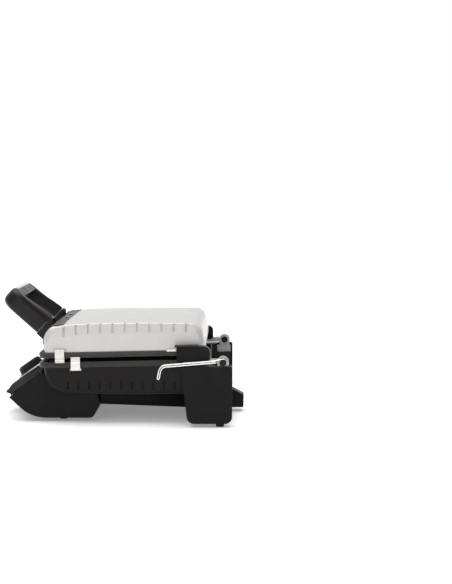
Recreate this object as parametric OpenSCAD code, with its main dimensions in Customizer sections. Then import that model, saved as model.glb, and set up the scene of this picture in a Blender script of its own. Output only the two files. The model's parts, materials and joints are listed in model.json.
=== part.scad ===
// Panini press with a floating 180 degree hinge.
// +Z is up, the handle and controls face -Y, and the machine is wide along X.
// The origin is the middle of the closed machine's footprint, on the table.

/* [Plates] */
// Width of each grill plate, across the machine
plate_w = 300; // [280:1:310]
// Distance from the hinge axis to the front edge of the plates
plate_front = 290; // [280:1:300]
// Distance from the hinge axis to the rear edge of the plates
plate_rear = 45; // [44:1:60]
// Height of a plate's outer rim
rim_h = 9.1; // [8:0.1:10]
// Gap between the two rims with the lid closed
rim_gap = 6.2; // [6:0.1:8]
// Number of ribs on each plate
rib_count = 27; // [15:2:31]
// Slope of both plates, down toward the front, in degrees
tilt = 1.2; // [0:0.1:2]

/* [Lid] */
// Height of the lid's side wall, from the plate rim to the crease
lid_h = 43; // [38:1:46]
// Rise of the lid's top from the crease to the middle
crown = 5; // [3:1:7]
// Wall thickness of the lid and the lower shell
wall = 2.4; // [2:0.1:3]
// Number of grooves on each side of the lid, and of vent slots on each side of the base
slot_count = 11; // [5:1:11]

/* [Handle] */
// Outer width of the handle loop
handle_w = 176; // [160:1:184]
// Length of the handle loop, from its seam to its end
handle_reach = 78; // [70:1:80]
// Depth of the handle's arms
handle_depth = 31; // [28:1:33]
// Angle of the handle above the plates, in degrees
handle_angle = 43; // [38:1:46]

/* [Base] */
// Width of the front housing
housing_w = 236; // [220:1:250]
// Height of the rubber feet
foot_h = 6; // [5:0.5:7]

/* [Hinge] */
// Height of the hinge axis above the table, with the lid down
pivot_z = 102; // [100:1:106]
// Diameter of the pivot pins
pin_d = 8; // [7:0.5:9]
// Rise of the floating hinge
float_rise = 18; // [10:1:20]
// Diameter of the chrome wire of the side levers
wire_d = 2.9; // [2.5:0.1:3.2]

/* [Control] */
// Diameter of the temperature knob
knob_d = 46; // [40:1:48]
// Height of the temperature knob
knob_h = 14; // [12:1:16]

/* [Hidden] */

$fn = 64;
cut = 1;            // how far a cutter runs past the face it cuts
gap = 0.3;          // clearance between parts that move past each other

// distances behind and ahead of the hinge axis
pivot_y = 164;
rear_reach = 33;
front_reach = 361;

// plate heights, measured from the hinge axis in the sloping plate frame
mid_z = 5.4;
low_rim_top = mid_z - rim_gap / 2;
low_rim_bottom = low_rim_top - rim_h;
sole_h = 5.2;
floor_drop = 4.6;
rib_h = 3.4;
rim_t = 7;

// shells
shell_w = plate_w - 6;
shell_front = plate_front - 8;
shell_rear = 28;
lid_top_w = shell_w - 7;
lid_bottom = 2 * mid_z - low_rim_bottom;
crease_z = lid_bottom + lid_h + 1.1;
slot_d = 2.6;
slot_depth = 1.3;
lid_lean = atan((shell_w - lid_top_w) / 2 / (crease_z - lid_bottom - 9));
slot_h = 15;
lid_slot_pitch = 19.2;
lid_slot_start = -250;
tub_slot_d = 2.4;
tub_slot_pitch = 16.8;
tub_slot_start = -245;

// clips, on both sides of each shell
clip_w = 14.5;
clip_t = 0.8;
clip_pin_d = 2;
clip_eye_d = 4.2;
clip_eye_x = 150.6;
clip_eye_z = 20.4;
upper_clip_y = -255.8;
lower_clip_y = -231.3;

// towers and hinge
tower_in = 150.5;
tower_out = 176;
tower_wall = 2.5;
slider_x = 164;
slider_t = 4;
slider_w = 18;
strap_x = 157;
strap_t = 3;
lever_x = 178.2;
lever_slope = 4.8;
lever_gap = 0.8;
block_in = 151;
block_out = 169;

// control panel: slope of the front face and its bow
panel_top = [-286, 77.7];
panel_slope = 34.8;
panel_bow = 8;
panel_t = 3;
panel_rise = panel_bow + panel_t + 0.1;
knob_s = 32;

// ---------- outline helpers ----------

function unit(v) = v / norm(v);

// arc of radius r that rounds the corner p between its neighbours a and b
function arc_at(p, a, b, r, n) =
    let (
        u = unit(a - p),
        v = unit(b - p),
        half = acos(u * v) / 2,
        c = p + unit(u + v) * r / sin(half),
        e1 = (p + u * r / tan(half) - c) / r,
        e2 = (p + v * r / tan(half) - c) / r,
        turn = 180 - 2 * half
    )
    [for (k = [0:n]) c + r * (e1 * sin((1 - k / n) * turn) + e2 * sin(k / n * turn)) / sin(turn)];

// outline from [x, y, corner radius] points
function rounded(pts, n = 6) =
    [for (i = [0:len(pts) - 1])
        let (m = len(pts), q = pts[i], a = pts[(i + m - 1) % m], b = pts[(i + 1) % m])
        each q[2] > 0
            ? arc_at([q[0], q[1]], [a[0], a[1]], [b[0], b[1]], q[2], n)
            : [[q[0], q[1]]]];

// ---------- placing helpers ----------

module at_pivot() translate([0, pivot_y, pivot_z]) children();

// frame of the plates and the lid: the hinge axis is its origin
module plate_frame() at_pivot() rotate([tilt, 0, 0]) children();

// frame of the handle loop: its seam is at the origin and it runs toward -Y
module handle_frame() plate_frame() translate([0, -289.8, 53.7]) rotate([-handle_angle, 0, 0]) children();

// frame of the control panel: -Y runs down the slope and +Z is the panel's normal
module panel_frame()
    at_pivot() translate([0, panel_top[0], panel_top[1] - pivot_z])
        rotate([panel_slope, 0, 0]) children();

// a side outline in [y, z], extruded across the machine between x0 and x1
module across(x0, x1) rotate([90, 0, 90]) translate([0, 0, x0]) linear_extrude(x1 - x0) children();

// a front outline in [x, z], extruded along the machine between y0 and y1
module along(y0, y1) translate([0, y1, 0]) rotate([90, 0, 0]) linear_extrude(y1 - y0) children();

module both_sides() for (side = [0, 1]) mirror([side, 0, 0]) children();

// pieces are drawn on the +X side, which is the machine's right as seen from behind
module left_side() mirror([1, 0, 0]) children();

module flip_plate() translate([0, 0, 2 * mid_z]) mirror([0, 0, 1]) children();

module rod_x(x0, x1, d) translate([x0, 0, 0]) rotate([0, 90, 0]) cylinder(d = d, h = x1 - x0);

module box(x, y, z) translate([x[0], y[0], z[0]]) cube([x[1] - x[0], y[1] - y[0], z[1] - z[0]]);

// ---------- grill plates ----------

module plate_plan(inset, r) {
    x = plate_w / 2 - inset;
    polygon(rounded([
        [-x, -plate_front + inset, r], [x, -plate_front + inset, r],
        [x, -plate_rear - inset, r / 2], [-x, -plate_rear - inset, r / 2]
    ], 8));
}

module rib(x) {
    y0 = -plate_front + 34;
    y1 = -plate_rear - rim_t - 4;
    translate([x, 0, low_rim_top - floor_drop])
        along(y0, y1) polygon([[-2.6, -0.1], [2.6, -0.1], [1.3, rib_h], [-1.3, rib_h]]);
}

// the lower plate; the upper one is its mirror image
module grill_plate() {
    floor_z = low_rim_top - floor_drop;
    pitch = (plate_w - 2 * rim_t - 12) / (rib_count - 1);
    union() {
        difference() {
            union() {
                translate([0, 0, low_rim_bottom]) linear_extrude(rim_h) plate_plan(0, 16);
                translate([0, 0, low_rim_bottom - sole_h])
                    linear_extrude(sole_h + cut) plate_plan(14, 10);
            }
            translate([0, 0, floor_z]) linear_extrude(floor_drop + cut) plate_plan(rim_t, 10);
            // drain trough across the front end
            translate([0, 0, floor_z - 2.4]) linear_extrude(2.4 + cut)
                polygon(rounded([
                    [-plate_w / 2 + 16, -plate_front + 12, 6], [plate_w / 2 - 16, -plate_front + 12, 6],
                    [plate_w / 2 - 16, -plate_front + 28, 6], [-plate_w / 2 + 16, -plate_front + 28, 6]
                ]));
            // hollow underside around the heating element
            translate([0, 0, low_rim_bottom - sole_h - cut]) linear_extrude(cut + 3.2) plate_plan(24, 8);
        }
        for (i = [0:rib_count - 1]) rib(-(rib_count - 1) / 2 * pitch + i * pitch);
    }
}

// tubular heating element: a rounded loop with two terminals at the rear
module element() {
    d = 6.6;
    r = 22;
    x = 106;
    y0 = -plate_front + 52;
    y1 = -plate_rear - 38;
    z = low_rim_bottom - sole_h + 3.2 - d / 2 - 0.1;
    translate([0, 0, z]) {
        rod_x_at(-x + r, x - r, y0, d);
        both_sides() {
            translate([x, y0 + r, 0]) rotate([-90, 0, 0]) cylinder(d = d, h = y1 - y0 - 2 * r);
            translate([x - r, y0 + r, 0]) rotate([0, 0, -90])
                rotate_extrude(angle = 90) translate([r, 0]) circle(d = d);
            translate([x - r, y1 - r, 0]) rotate_extrude(angle = 90) translate([r, 0]) circle(d = d);
            rod_x_at(24, x - r, y1, d);
            // cold end that turns down to the terminal
            translate([24, y1, -8]) rotate([-90, 0, 0]) rotate([0, 0, -90]) mirror([0, 1, 0])
                rotate_extrude(angle = 90) translate([8, 0]) circle(d = d);
            translate([16, y1, -15]) cylinder(d = d, h = 7);
        }
    }
}

module rod_x_at(x0, x1, y, d) translate([0, y, 0]) rod_x(x0, x1, d);

// sheet pan that throws the element's heat back at the plate
module reflector() {
    top = low_rim_bottom - sole_h - 1;
    t = 0.8;
    y0 = -plate_front + 30;
    y1 = -plate_rear - 18;
    difference() {
        box([-126, 126], [y0, y1], [top - 12, top]);
        box([-126 + t, 126 - t], [y0 + t, y1 - t], [top - 12 + t, top + cut]);
        both_sides() translate([16, -plate_rear - 38, top - 13]) cylinder(d = 9, h = 4);
    }
}

// ---------- shells ----------

// side outline of the lid, moved inward by inset
function lid_side(inset) = rounded([
    [-shell_front + inset, lid_bottom - (inset > 0 ? cut : 0), 0],
    [-shell_front + inset, lid_bottom + 26, 26],
    [-shell_front + 12 + inset, crease_z - 3.4 - inset, 13 - inset],
    [-212, crease_z + 2.2 - inset, 60],
    [-132, crease_z + crown - inset, 240],
    [-60, crease_z + 2.6 - inset, 40],
    [-shell_rear - 6 - inset, crease_z - 4 - inset, 20 - inset],
    [-shell_rear - inset, lid_bottom + 10, 8],
    [-shell_rear - inset, lid_bottom - (inset > 0 ? cut : 0), 0]
], 8);

// front outline of the lid: upright skirt, leaning side, crease and crowned top
function lid_front(inset) =
    let (
        x0 = shell_w / 2 - inset,
        x1 = lid_top_w / 2 - inset,
        z1 = crease_z - inset,
        steps = 12
    )
    concat(
        [[x0, lid_bottom - (inset > 0 ? cut : 0)], [x0, lid_bottom + 9]],
        arc_at([x1, z1], [x0, lid_bottom + 9], [x1 - 9, z1 + crown * 0.13], 4.5, 6),
        [for (k = [1:steps - 1]) let (x = (x1 - 9) * (1 - 2 * k / steps))
            [x, z1 + crown * (1 - pow(x / x1, 2))]],
        arc_at([-x1, z1], [-x1 + 9, z1 + crown * 0.13], [-x0, lid_bottom + 9], 4.5, 6),
        [[-x0, lid_bottom + 9], [-x0, lid_bottom - (inset > 0 ? cut : 0)]]
    );

module lid_form(inset) intersection() {
    across(-plate_w / 2, plate_w / 2) polygon(lid_side(inset));
    along(-plate_front, 0) polygon(lid_front(inset));
}

// height of the crease where a slot starts
function slot_top(y) = crease_z - 0.2 - 5.2 * pow(max(0, abs(y + 150) - 50) / 50, 2) * (y < -150 ? 1 : 0.35);

// upright slot with round ends, cut into a wall whose face is the plane x = 0
module slot_cutter(depth, top, d, h) {
    box([-depth, 2 + cut], [-d / 2, d / 2], [top - h + d / 2, top - d / 2]);
    for (z = [top - h + d / 2, top - d / 2]) translate([0, 0, z]) rod_x(-depth, 2 + cut, d);
}

// shallow grooves down the lid's leaning side walls
module lid_slots() both_sides() for (i = [0:slot_count - 1]) {
    y = lid_slot_start + i * lid_slot_pitch;
    translate([lid_top_w / 2, y, crease_z]) rotate([0, -lid_lean, 0])
        slot_cutter(slot_depth, slot_top(y) - crease_z, slot_d, slot_h);
}

// side outline of the lower shell, moved inward by inset
function tub_side(inset) = rounded([
    [-shell_front - 1 + inset, low_rim_bottom + (inset > 0 ? cut : 0), 0],
    [-shell_front + 5 + inset, -45 + inset, 28 - inset],
    [-24 - inset, -54.6 + inset, 10],
    [-22 - inset, low_rim_bottom + (inset > 0 ? cut : 0), 0]
], 8);

function tub_front(inset) =
    let (x0 = shell_w / 2 - inset, x1 = shell_w / 2 - 5 - inset, top = low_rim_bottom + (inset > 0 ? cut : 0))
    rounded([
        [x0, top, 0], [x0, low_rim_bottom - 10, 6], [x1, -54.6 + inset - 1, 9],
        [-x1, -54.6 + inset - 1, 9], [-x0, low_rim_bottom - 10, 6], [-x0, top, 0]
    ]);

module tub_form(inset) intersection() {
    across(-plate_w / 2, plate_w / 2) polygon(tub_side(inset));
    along(-plate_front, 0) polygon(tub_front(inset));
}

module lid_shell() color("silver") plate_frame() difference() {
    lid_form(0);
    lid_form(wall);
    lid_slots();
    handle_screw_holes();
}

module lower_shell() color([0.16, 0.15, 0.15]) plate_frame() difference() {
    tub_form(0);
    tub_form(wall);
    both_sides() for (i = [0:slot_count - 1])
        translate([shell_w / 2, tub_slot_start + i * tub_slot_pitch, 0])
            slot_cutter(8, -29 - i * 0.35, tub_slot_d, 13);
    // holes for the element's terminals
    both_sides() translate([16, -plate_rear - 38, -60]) cylinder(d = 10, h = 12);
}

module upper_plate() color([0.50, 0.49, 0.48]) plate_frame() flip_plate() grill_plate();
module lower_plate() color([0.30, 0.29, 0.28]) plate_frame() grill_plate();
module upper_element() color([0.35, 0.34, 0.33]) plate_frame() flip_plate() element();
module lower_element() color([0.35, 0.34, 0.33]) plate_frame() element();
module upper_reflector() color([0.75, 0.75, 0.76]) plate_frame() flip_plate() reflector();
module lower_reflector() color([0.75, 0.75, 0.76]) plate_frame() reflector();

// ---------- plate clips and catches ----------

// strip of spring steel between two points of its section
module strip(a, b, t) {
    u = unit(b - a);
    n = [-u[1], u[0]] * t / 2;
    polygon([a - n, b - n, b + n, a + n]);
}

// section of a clip in [x, z]: eye, leg, nose under the rim and finger lip
clip_path = [[152.3, clip_eye_z], [152.3, 10.4], [150.2, 7.1], [150.9, 4.3], [153.9, 1.2]];

module plate_clip(y) translate([0, y, 0]) difference() {
    along(-clip_w / 2, clip_w / 2) {
        for (i = [0:len(clip_path) - 2]) strip(clip_path[i], clip_path[i + 1], clip_t);
        for (i = [1:len(clip_path) - 2]) translate(clip_path[i]) circle(d = clip_t, $fn = 16);
        translate([clip_eye_x, clip_eye_z]) circle(d = clip_eye_d);
    }
    translate([clip_eye_x, clip_w / 2 + cut, clip_eye_z]) rotate([90, 0, 0])
        cylinder(d = clip_pin_d + 0.15, h = clip_w + 2 * cut);
}

// steel foot, two ears and the pin that a clip turns on
module clip_mount(y) translate([0, y, 0]) {
    ear = clip_w / 2 + gap;
    ear_t = 1.2;
    box([shell_w / 2, shell_w / 2 + 0.8], [-ear - ear_t, ear + ear_t], [clip_eye_z - 2.4, clip_eye_z + 2.4]);
    for (y0 = [-ear - ear_t, ear])
        box([shell_w / 2, clip_eye_x + 1.8], [y0, y0 + ear_t], [clip_eye_z - 2, clip_eye_z + 2]);
    translate([clip_eye_x, ear + ear_t, clip_eye_z]) rotate([90, 0, 0])
        cylinder(d = clip_pin_d, h = 2 * (ear + ear_t));
}

module upper_clip() color([0.85, 0.84, 0.82]) plate_frame() plate_clip(upper_clip_y);
module lower_clip() color([0.85, 0.84, 0.82]) plate_frame() flip_plate() plate_clip(lower_clip_y);
module upper_right_clip() upper_clip();
module upper_left_clip() left_side() upper_clip();
module lower_right_clip() lower_clip();
module lower_left_clip() left_side() lower_clip();

module upper_clip_mounts() color([0.7, 0.7, 0.7]) plate_frame() both_sides() clip_mount(upper_clip_y);
module lower_clip_mounts() color([0.7, 0.7, 0.7])
    plate_frame() flip_plate() both_sides() clip_mount(lower_clip_y);

// bent steel tab that holds a plate's rear edge
module rear_catch() {
    top = low_rim_top;
    y = -plate_rear;
    both_sides() {
        box([29, 41], [y + 0.2, y + 1.4], [low_rim_bottom - 6, top + 1.4]);
        box([29, 41], [y - 2.4, y + 1.4], [top + 0.2, top + 1.4]);
        box([29, 41], [y + 0.2, y + 17 + 0.8], [low_rim_bottom - 6, low_rim_bottom - 4.8]);
    }
}

module lower_rear_catches() color([0.7, 0.7, 0.7]) plate_frame() intersection() {
    rear_catch();
    tub_or_above();
}
module tub_or_above() box([-60, 60], [-60, -24 - wall - 0.2], [-60, 40]);
module upper_rear_catches() color([0.7, 0.7, 0.7]) plate_frame() flip_plate() intersection() {
    rear_catch();
    box([-60, 60], [-60, -shell_rear - wall - 0.2], [-60, 40]);
}

// polished strip along the side rim, just ahead of the arm block
module upper_side_catches() color([0.85, 0.85, 0.85]) plate_frame() both_sides() {
    y = [-88, -73];
    rim_x = plate_w / 2;
    z0 = lid_bottom;
    box([shell_w / 2, rim_x + 1.2], y, [z0 + 0.3, z0 + 1.5]);
    box([rim_x + 0.2, rim_x + 1.2], y, [z0 - 6, z0 + 1.5]);
}

// ---------- handle ----------

handle_arm = 22;
cap_h = 5;
flare = 5;          // extra depth of the arms at their roots

module loop_plan(w, reach, r) {
    polygon(rounded([[-w / 2, 0, 0], [-w / 2, -reach, r], [w / 2, -reach, r], [w / 2, 0, 0]], 10));
}

// the handle loop between two heights in the handle's own frame
module handle_loop(z0, z1) {
    r = 10;
    d = handle_depth / 2;
    difference() {
        intersection() {
            translate([0, 0, z0]) linear_extrude(z1 - z0) loop_plan(handle_w, handle_reach, 24);
            across(-handle_w, handle_w) polygon(rounded([
                [0, -d, 0], [0, d + flare, 0], [-handle_reach + 1.5, d, r - 2], [-handle_reach, 0, 14],
                [-handle_reach + 3, -d, r]
            ], 8));
        }
        // finger opening
        translate([0, 0, -handle_depth]) linear_extrude(2 * handle_depth)
            polygon(rounded([
                [-handle_w / 2 + handle_arm, cut, 0],
                [-handle_w / 2 + handle_arm, -handle_reach + 24, 12],
                [handle_w / 2 - handle_arm, -handle_reach + 24, 12],
                [handle_w / 2 - handle_arm, cut, 0]
            ], 8));
    }
}

trim_w = 112;

module trim_cut(extra) {
    translate([0, 0, handle_depth / 2 - 7]) linear_extrude(12)
        polygon(rounded([
            [-trim_w / 2 - extra, -handle_reach + 10 + extra, 3], [-trim_w / 2 - extra, -handle_reach - 4, 0],
            [trim_w / 2 + extra, -handle_reach - 4, 0], [trim_w / 2 + extra, -handle_reach + 10 + extra, 3]
        ]));
}

module handle_grip() color([0.18, 0.17, 0.17]) handle_frame() difference() {
    handle_loop(-handle_depth / 2 + cap_h, handle_depth / 2 + flare);
    trim_cut(0);
}

module handle_lower_cap() color([0.14, 0.13, 0.13]) handle_frame()
    handle_loop(-handle_depth / 2, -handle_depth / 2 + cap_h - 0.4);

module handle_trim() color([0.88, 0.87, 0.85]) handle_frame() intersection() {
    handle_loop(-handle_depth / 2 + cap_h, handle_depth / 2 + flare);
    trim_cut(-0.2);
}

bracket_w = 272;
bracket_t = 1.8;
bracket_rear = -250;
bracket_low = 29;

// skin of even thickness over the lid's front corner
module bracket_skin() difference() {
    intersection() {
        lid_form(-bracket_t);
        box([-bracket_w / 2, bracket_w / 2], [-plate_front - 10, bracket_rear], [bracket_low, crease_z + 12]);
    }
    lid_form(-0.15);
}

// solid root of each arm, from the lid's corner to the handle's seam
module arm_root() both_sides() difference() {
    intersection() {
        translate([0, -289.8, 53.7]) rotate([-handle_angle, 0, 0])
            across(handle_w / 2 - handle_arm, handle_w / 2) polygon([
                [0.4, -handle_depth / 2], [60, -handle_depth / 2], [60, handle_depth / 2 + flare + 4],
                [0.4, handle_depth / 2 + flare]
            ]);
        box([0, plate_w / 2], [-plate_front - 40, -252], [lid_bottom + 6, 140]);
    }
    lid_form(-0.15);
    box([-plate_w, plate_w], [-shell_front - 0.1, -200], [0, lid_bottom + 12]);
}

light_y = -256;
light_d = 7;
light_h = 12.8;

module handle_bracket() color([0.15, 0.14, 0.14]) plate_frame() difference() {
    union() {
        bracket_skin();
        arm_root();
    }
    for (x = [-26, 26]) translate([x, light_y, crease_z - 12]) cylinder(d = light_d, h = 40);
    handle_screw_holes();
}

module light(x) plate_frame() difference() {
    translate([x, light_y, crease_z - 12]) cylinder(d = light_d - 0.1, h = light_h);
    lid_form(-0.2);
}
module power_light() color([0.75, 0.1, 0.08]) light(26);
module ready_light() color([0.1, 0.6, 0.15]) light(-26);

screw_y = -277;
screw_z = 41;

module screw_line(d, z0, z1) both_sides()
    translate([handle_w / 2 - handle_arm / 2, screw_y, screw_z]) rotate([90 - handle_angle, 0, 0])
        translate([0, 0, z0]) cylinder(d = d, h = z1 - z0);

module handle_screw_holes() screw_line(4.3, -12, 12);

module handle_screws() color([0.6, 0.6, 0.6]) plate_frame() {
    screw_line(4.2, -6, 11);
    screw_line(8, -8.5, -6);
}

// ---------- hinge ----------

module arm_block() color([0.12, 0.11, 0.11]) plate_frame() difference() {
    union() {
        across(block_in, block_out) polygon(rounded([
            [-72, 1, 3], [-72, 24.5, 2], [-20, 24.5, 9], [-20, 1, 6]
        ]));
        // flange along the top edge
        across(block_in, block_out + 1.2) polygon(rounded([
            [-75, 24.5, 0], [-75, 26, 0.6], [-38, 26, 0.6], [-38, 24.5, 0]
        ], 3));
        // pad that joins the block to the lid's side wall
        box([shell_w / 2 + 0.05, block_in + cut], [-66, -34], [lid_bottom + 0.4, 24]);
    }
    // pocket for the steel strap
    box([strap_x - strap_t / 2, strap_x + strap_t / 2], [-62, -19], [-4, 4]);
    box([strap_x - strap_t / 2, strap_x + strap_t / 2], [-62, -44], [-4, 12]);
}
module right_arm_block() arm_block();
module left_arm_block() left_side() arm_block();

module hinge_strap() color([0.72, 0.72, 0.73]) plate_frame() difference() {
    union() {
        rod_x(strap_x - strap_t / 2, strap_x + strap_t / 2, pin_d + 4.4);
        box([strap_x - strap_t / 2, strap_x + strap_t / 2], [-62, 0], [-4, 4]);
        box([strap_x - strap_t / 2, strap_x + strap_t / 2], [-62, -44], [-4, 12]);
    }
    rod_x(strap_x - strap_t, strap_x + strap_t, pin_d + 0.15);
}
module right_hinge_strap() hinge_strap();
module left_hinge_strap() left_side() hinge_strap();

module pivot_pin() color([0.8, 0.8, 0.82]) at_pivot() {
    rod_x(strap_x - 4, lever_x + 1.9, pin_d);
    rod_x(lever_x + 1.9, lever_x + 3.7, pin_d + 3);
    rod_x(strap_x - 5.5, strap_x - 4, pin_d + 3);
}
module right_pivot_pin() pivot_pin();
module left_pivot_pin() left_side() pivot_pin();

slider_low = -36 - float_rise;     // keeps 20 mm of the slider in its guide at full rise

module hinge_slider() color([0.6, 0.6, 0.62]) at_pivot() difference() {
    union() {
        rod_x(slider_x - slider_t / 2, slider_x + slider_t / 2, slider_w);
        box([slider_x - slider_t / 2, slider_x + slider_t / 2], [-slider_w / 2, slider_w / 2], [slider_low, 0]);
    }
    rod_x(slider_x - slider_t, slider_x + slider_t, pin_d);
}
module right_hinge_slider() hinge_slider();
module left_hinge_slider() left_side() hinge_slider();

guide_base = 44;
guide_top = 91;

module hinge_guide() color([0.25, 0.25, 0.26]) translate([0, pivot_y, 0]) difference() {
    box([slider_x - 7, slider_x + 7], [-14, 11.2], [guide_base, guide_top]);
    box([slider_x - slider_t / 2 - gap, slider_x + slider_t / 2 + gap],
        [-slider_w / 2 - gap, slider_w / 2 + gap], [pivot_z + slider_low - gap, guide_top + cut]);
}
module right_hinge_guide() hinge_guide();
module left_hinge_guide() left_side() hinge_guide();

// side outline of a tower, moved inward by inset
function tower_side(inset) = rounded([
    [-65 + inset, 93.8 - inset, 2], [14 - inset, 95.6 - inset, 3],
    [14 - inset, foot_h + inset, 11 - inset], [-55.6 + inset, foot_h + inset, 12 - inset]
], 8);

module tower() color([0.15, 0.14, 0.15]) translate([0, pivot_y, 0]) difference() {
    across(tower_in, tower_out) polygon(tower_side(0));
    across(tower_in + tower_wall, tower_out - tower_wall) polygon(tower_side(tower_wall));
    // opening in the top for the slider, the strap and the pin
    box([tower_in - cut, slider_x + slider_t], [-13, 11.4], [80, 110]);
    // opening in the inner wall for the base's cross beam
    box([tower_in - cut, tower_in + tower_wall + cut], [-50.3, 6.3], [pan_floor - gap, guide_base + gap]);
    // screw hole for the foot
    translate([slider_x - 2, -5, 0]) cylinder(d = 4.2, h = 12);
}
module right_tower() tower();
module left_tower() left_side() tower();

// chrome wire lever: an eye on the pivot pin and a doubled wire with a turned-down end
eye_r = pin_d / 2 + 0.06 + wire_d / 2;
wire_pitch = wire_d + lever_gap;
lever_bend = 59;
bend_r = 9;
lever_reach = 88;
lever_tail = 11;
lever_leg = 12;
wire_sides = 12;
bend_centre = [-lever_reach, eye_r - wire_pitch / 2 - bend_r];

// points on the lever's big bend, at radius r, in [y, z]
function bend_points(r, a0, a1, n = 6) =
    [for (k = [0:n]) let (a = a0 + (a1 - a0) * k / n) bend_centre + r * [-sin(a), cos(a)]];

// the wire's centre line in [y, z]: out along the top, round the hairpin and back underneath
function wire_path() =
    let (
        along = [-cos(lever_bend), -sin(lever_bend)],
        out = [-sin(lever_bend), cos(lever_bend)],
        tip = bend_centre + along * lever_leg + out * bend_r
    )
    concat(
        [[-3, eye_r]],
        bend_points(bend_r + wire_pitch / 2, 0, lever_bend),
        [for (a = [0:18:180]) tip + wire_pitch / 2 * (out * cos(a) + along * sin(a))],
        bend_points(bend_r - wire_pitch / 2, lever_bend, 0),
        [[-lever_tail, eye_r - wire_pitch]]
    );

// round wire swept along a path that lies in the plane x = 0
module wire(path, d) {
    n = len(path);
    points = [for (i = [0:n - 1])
        let (
            t = unit(path[min(i + 1, n - 1)] - path[max(i - 1, 0)]),
            side = [-t[1], t[0]]
        )
        for (k = [0:wire_sides - 1])
            let (a = 360 * k / wire_sides, q = path[i] + side * cos(a) * d / 2)
            [sin(a) * d / 2, q[0], q[1]]];
    walls = [for (i = [0:n - 2], k = [0:wire_sides - 1])
        let (k2 = (k + 1) % wire_sides)
        [i * wire_sides + k, (i + 1) * wire_sides + k, (i + 1) * wire_sides + k2, i * wire_sides + k2]];
    first = [for (k = [0:wire_sides - 1]) k];
    last = [for (k = [wire_sides - 1:-1:0]) (n - 1) * wire_sides + k];
    polyhedron(points, concat(walls, [first, last]));
}

module side_lever() color([0.86, 0.86, 0.88]) at_pivot() translate([lever_x, 0, 0]) rotate([lever_slope, 0, 0]) {
    wire(wire_path(), wire_d);
    difference() {
        rod_x(-wire_d / 2 - 0.15, wire_d / 2 + 0.15, 2 * eye_r + wire_d + 0.6);
        rod_x(-wire_d, wire_d, pin_d + 0.12);
    }
}

module right_side_lever() side_lever();
module left_side_lever() left_side() side_lever();

// ---------- base ----------

pan_w = 224;
pan_floor = 21;     // underside at the rear
pan_front = 27.6;   // underside at the front end
pan_top = 46;

// side outline of the pan, moved inward by inset; its underside slopes up toward the front
function pan_side(inset) =
    let (top = pan_top - 1 + (inset > 0 ? 2 : 0))
    [
        [-196 + inset, top], [-196 + inset, pan_front + inset], [-20, pan_floor + inset],
        [10 - inset, pan_floor + inset], [10 - inset, top]
    ];

// height of the pan's underside
function pan_bottom(y) = pan_floor + (pan_front - pan_floor) * max(0, -20 - y) / 176;

module base_pan() color([0.10, 0.10, 0.10]) translate([0, pivot_y, 0]) difference() {
    union() {
        across(-pan_w / 2, pan_w / 2) polygon(pan_side(0));
        box([-tower_out + 4, tower_out - 4], [-50, 6], [pan_floor, guide_base]);
    }
    across(-pan_w / 2 + 2.5, pan_w / 2 - 2.5) polygon(pan_side(2.5));
    both_sides() box([pan_w / 2 + cut, tower_in + 1], [-47, 3], [pan_floor + 3, guide_base - 3]);
    // way out for the wires at the front and the rear
    for (y = [-198, 6]) box([-12, 12], [y, y + 6], [38, pan_top + cut]);
    both_sides() for (y = [-180, -20]) translate([pan_w / 2 - 14, y, 0]) cylinder(d = 4.2, h = 30);
}

module base_screws() color([0.6, 0.6, 0.6]) translate([0, pivot_y, 0])
    both_sides() for (y = [-180, -20]) translate([pan_w / 2 - 14, y, 0]) {
        // the underside is lowest at the rear edge of the head
        translate([0, 0, pan_bottom(y + 4) - 2]) cylinder(d = 8, h = 2);
        translate([0, 0, pan_bottom(y + 4)]) cylinder(d = 4.2, h = 9);
    }

// side outline of the front housing; grown at the slope so that a smaller copy opens it
function housing_side(inset) =
    let (open = inset > 0 ? 12 : 0)
    rounded([
        [-341.5 + inset - open, 39 + open * 0.6, 1.5], [-284 - open * 0.4, 79 + open, 2], [-250, 79 + open, 0],
        [-250, 62, 0], [-203 - inset, 62, 0], [-197 - inset, 28, 8], [-207.5 - inset * 0.5, foot_h + inset, 9],
        [-306 + inset * 0.4, foot_h + inset, 60]
    ], 8);

module front_housing() color([0.13, 0.12, 0.12]) difference() {
    translate([0, pivot_y, 0]) difference() {
        across(-housing_w / 2, housing_w / 2) polygon(housing_side(0));
        across(-housing_w / 2 + 2.5, housing_w / 2 - 2.5) polygon(housing_side(2.5));
        // mouth for the drip tray
        box([-88, 88], [-360, -300], [19.6, 41]);
        // way in for the wires
        box([-12, 12], [-206, -190], [38, 50]);
        // holes for the feet's screws
        both_sides() translate([86, -258, 0]) cylinder(d = 4.2, h = 20);
    }
    plate_frame() tub_form(-0.1);
    translate([0, pivot_y, 0]) box([-pan_w / 2 - 0.1, pan_w / 2 + 0.1], [-196.1, -180], [pan_floor - 0.1, 60]);
}

module tray_runners() color([0.13, 0.12, 0.12]) translate([0, pivot_y, 0])
    both_sides() box([76, housing_w / 2 - 2.5], [-300, -216], [18, 21.6]);

// outline of the bowed panel seen along its normal
function panel_plan() =
    let (w = housing_w / 2 - 0.5, n = 16)
    concat(
        [[w, -1], [-w, -1]],
        [for (k = [0:n]) let (x = -w + 2 * w * k / n) [x, -63 - 11 * (1 - pow(x / w, 2))]]
    );

module control_panel() color([0.14, 0.13, 0.13]) panel_frame() {
    r = (pow(housing_w / 2, 2) + pow(panel_bow, 2)) / (2 * panel_bow);
    difference() {
        intersection() {
            along(-80, 10) translate([0, panel_rise - r]) difference() {
                circle(r, $fn = 360);
                circle(r - panel_t, $fn = 360);
            }
            translate([0, 0, -20]) linear_extrude(60) polygon(panel_plan());
        }
        translate([0, -knob_s, 0]) cylinder(d = 7, h = 30);
    }
    difference() {
        translate([0, -knob_s, panel_rise - 1.4]) cylinder(d = knob_d + 12, h = 2);
        translate([0, -knob_s, 0]) cylinder(d = 7, h = 30);
    }
}

knob_base = panel_rise + 0.6;

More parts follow.
